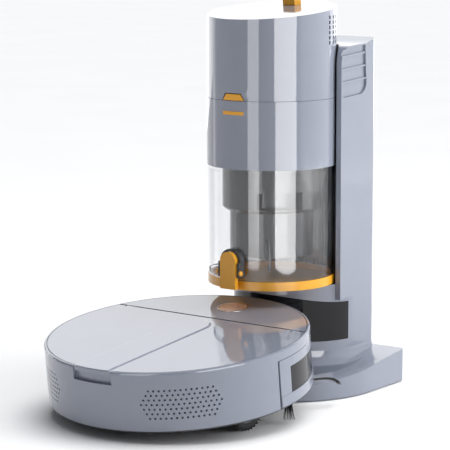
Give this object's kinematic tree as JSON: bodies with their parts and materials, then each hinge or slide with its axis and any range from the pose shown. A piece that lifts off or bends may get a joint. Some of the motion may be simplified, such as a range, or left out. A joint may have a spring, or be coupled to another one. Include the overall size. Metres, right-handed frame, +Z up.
{
  "type": "robot vacuum",
  "caption": "Round robot vacuum parked nose-up on the ramp of a tall self-emptying dock with a clear cylindrical dust cup.",
  "frame": {"origin": "centre of the parked outfit's box, on the floor", "axes": "+Y from the robot to the back of the dock, +Z up, +X to the robot's right-hand side seen from behind it"},
  "size_m": [0.3416, 0.4898, 0.5219],
  "materials": {
    "grey_shell": "high gloss",
    "dark_trim": "satin",
    "black_gloss": "high gloss",
    "orange": "gloss",
    "clear": "clear moulded",
    "smoke": "smoked gloss",
    "copper": "spun metal",
    "steel": "satin",
    "gold_contact": "plated",
    "rubber": "matt",
    "board": "solder mask",
    "filter": "pleated",
    "bristle": "nylon",
    "roll_plush": "plush",
    "battery_wrap": "shrink wrap",
    "fan_grey": "satin"
  },
  "bodies": {
    "dock": {"base_plate": "grey_shell", "base_cover": "dark_trim", "rubber_feet": "rubber", "base_screws": "steel", "column_housing": "grey_shell", "column_liner": "dark_trim", "back_cover": "grey_shell", "front_window": "black_gloss", "louvre_panels": "grey_shell", "louvre_bars": "grey_shell", "dust_duct": "dark_trim", "port_seal": "rubber", "dock_contacts": "gold_contact", "power_supply": "fan_grey", "control_board": "board", "mains_inlet": "dark_trim"},
    "collector": {"collar": "grey_shell", "marker_bar": "orange", "clear_cup": "clear", "shroud_upper": "smoke", "shroud_lower": "smoke", "cyclone_cones": "smoke", "cup_filter": "filter", "flap_pin": "steel", "latch_bracket": "dark_trim", "latch_pin": "steel"},
    "flap": {"bottom_flap": "orange", "flap_seal": "rubber"},
    "latch": {"cup_latch": "orange"},
    "motor_head": {"head_shell": "grey_shell", "fan_motor": "fan_grey"},
    "impeller": {"fan_impeller": "fan_grey"},
    "head_button": {"top_button": "orange"},
    "cup_release": {"release_button": "orange"},
    "robot": {"chassis": "dark_trim", "side_shell": "grey_shell", "top_panel": "grey_shell", "lid_pins": "steel", "button_ring": "steel", "suction_fan": "fan_grey", "battery": "battery_wrap", "battery_hatch": "dark_trim", "robot_board": "board", "brush_guard": "dark_trim", "charging_pads": "gold_contact"},
    "bumper": {"bumper": "grey_shell", "bumper_window": "black_gloss"},
    "lid": {"rear_lid": "grey_shell"},
    "start_button": {"power_button": "copper"},
    "bin": {"dustbin": "smoke", "bin_filter": "filter"},
    "roll": {"brush_roll": "roll_plush"},
    "sweeper_left": {"side_brush_left": "bristle"},
    "sweeper_right": {"side_brush_right": "bristle"},
    "arm_left": {"wheel_arm_left": "dark_trim"},
    "arm_right": {"wheel_arm_right": "dark_trim"},
    "drive_left": {"wheel_left": "rubber"},
    "drive_right": {"wheel_right": "rubber"},
    "caster_fork": {"caster_fork": "dark_trim"},
    "caster_wheel": {"caster_wheel": "fan_grey"}
  },
  "joints": [
    {"name": "robot_drive", "type": "slide", "parent": "dock", "child": "robot", "axis": [0, -1, 0], "range_m": [0, 0.32]},
    {"name": "collector_lift", "type": "slide", "parent": "dock", "child": "collector", "axis": [0, 0, 1], "range_m": [0, 0.34]},
    {"name": "flap_open", "type": "hinge", "parent": "collector", "child": "flap", "pos_m": [0, 0.21708, 0.1492], "axis": [1, 0, 0], "range_deg": [0, 18]},
    {"name": "latch_press", "type": "hinge", "parent": "collector", "child": "latch", "pos_m": [0, 0.03418, 0.166], "axis": [-1, 0, 0], "range_deg": [0, 4], "stiffness_Nm_per_rad": 0.05, "springref_deg": -5.73},
    {"name": "head_lift", "type": "slide", "parent": "collector", "child": "motor_head", "axis": [0, 0, 1], "range_m": [0, 0.12]},
    {"name": "impeller_spin", "type": "hinge", "parent": "motor_head", "child": "impeller", "pos_m": [0, 0.12788, 0.4], "axis": [0, 0, 1], "continuous": true},
    {"name": "head_button_press", "type": "slide", "parent": "motor_head", "child": "head_button", "axis": [0, 0.1045, -0.9945], "range_m": [0, 0.003], "stiffness_N_per_m": 400, "springref_m": -0.002},
    {"name": "cup_release_press", "type": "slide", "parent": "motor_head", "child": "cup_release", "axis": [0, 1, 0], "range_m": [0, 0.003], "stiffness_N_per_m": 400, "springref_m": -0.002},
    {"name": "bumper_press", "type": "slide", "parent": "robot", "child": "bumper", "axis": [0, -0.9944, -0.1059], "range_m": [0, 0.0025], "stiffness_N_per_m": 600, "springref_m": -0.002},
    {"name": "lid_hinge", "type": "hinge", "parent": "robot", "child": "lid", "pos_m": [0, -0.01074, 0.1111], "axis": [-1, 0, 0], "range_deg": [0, 80]},
    {"name": "start_button_press", "type": "slide", "parent": "robot", "child": "start_button", "axis": [0, 0.1059, -0.9944], "range_m": [0, 0.0012], "stiffness_N_per_m": 400, "springref_m": -0.002},
    {"name": "bin_lift", "type": "slide", "parent": "robot", "child": "bin", "axis": [0, -0.1059, 0.9944], "range_m": [0, 0.06]},
    {"name": "brush_spin", "type": "hinge", "parent": "robot", "child": "roll", "pos_m": [0, -0.0087, 0.05138], "axis": [1, 0, 0], "continuous": true},
    {"name": "sweep_left", "type": "hinge", "parent": "robot", "child": "sweeper_left", "pos_m": [-0.112, 0.01487, 0.0378], "axis": [0, -0.1059, 0.9944], "continuous": true},
    {"name": "sweep_right", "type": "hinge", "parent": "robot", "child": "sweeper_right", "pos_m": [0.112, 0.01487, 0.0378], "axis": [0, -0.1059, 0.9944], "continuous": true},
    {"name": "suspension_left", "type": "hinge", "parent": "robot", "child": "arm_left", "pos_m": [-0.098, -0.04942, 0.05599], "axis": [-1, 0, 0], "range_deg": [0, 20]},
    {"name": "suspension_right", "type": "hinge", "parent": "robot", "child": "arm_right", "pos_m": [0.098, -0.04942, 0.05599], "axis": [-1, 0, 0], "range_deg": [0, 20]},
    {"name": "wheel_spin_left", "type": "hinge", "parent": "arm_left", "child": "drive_left", "pos_m": [-0.118, -0.09546, 0.035], "axis": [1, 0, 0], "continuous": true},
    {"name": "wheel_spin_right", "type": "hinge", "parent": "arm_right", "child": "drive_right", "pos_m": [0.118, -0.09546, 0.035], "axis": [1, 0, 0], "continuous": true},
    {"name": "caster_swivel", "type": "hinge", "parent": "robot", "child": "caster_fork", "pos_m": [0, 0.05464, 0.04203], "axis": [0, -0.1059, 0.9944], "continuous": true},
    {"name": "caster_spin", "type": "hinge", "parent": "caster_fork", "child": "caster_wheel", "pos_m": [0, 0.04282, 0.03977], "axis": [1, 0, 0], "continuous": true}
  ],
  "couplings": [
    {"joint": "flap_open", "follows": "collector_lift", "rad_per_m": 0.87266},
    {"joint": "bin_lift", "follows": "lid_hinge", "m_per_rad": 0.042256}
  ]
}
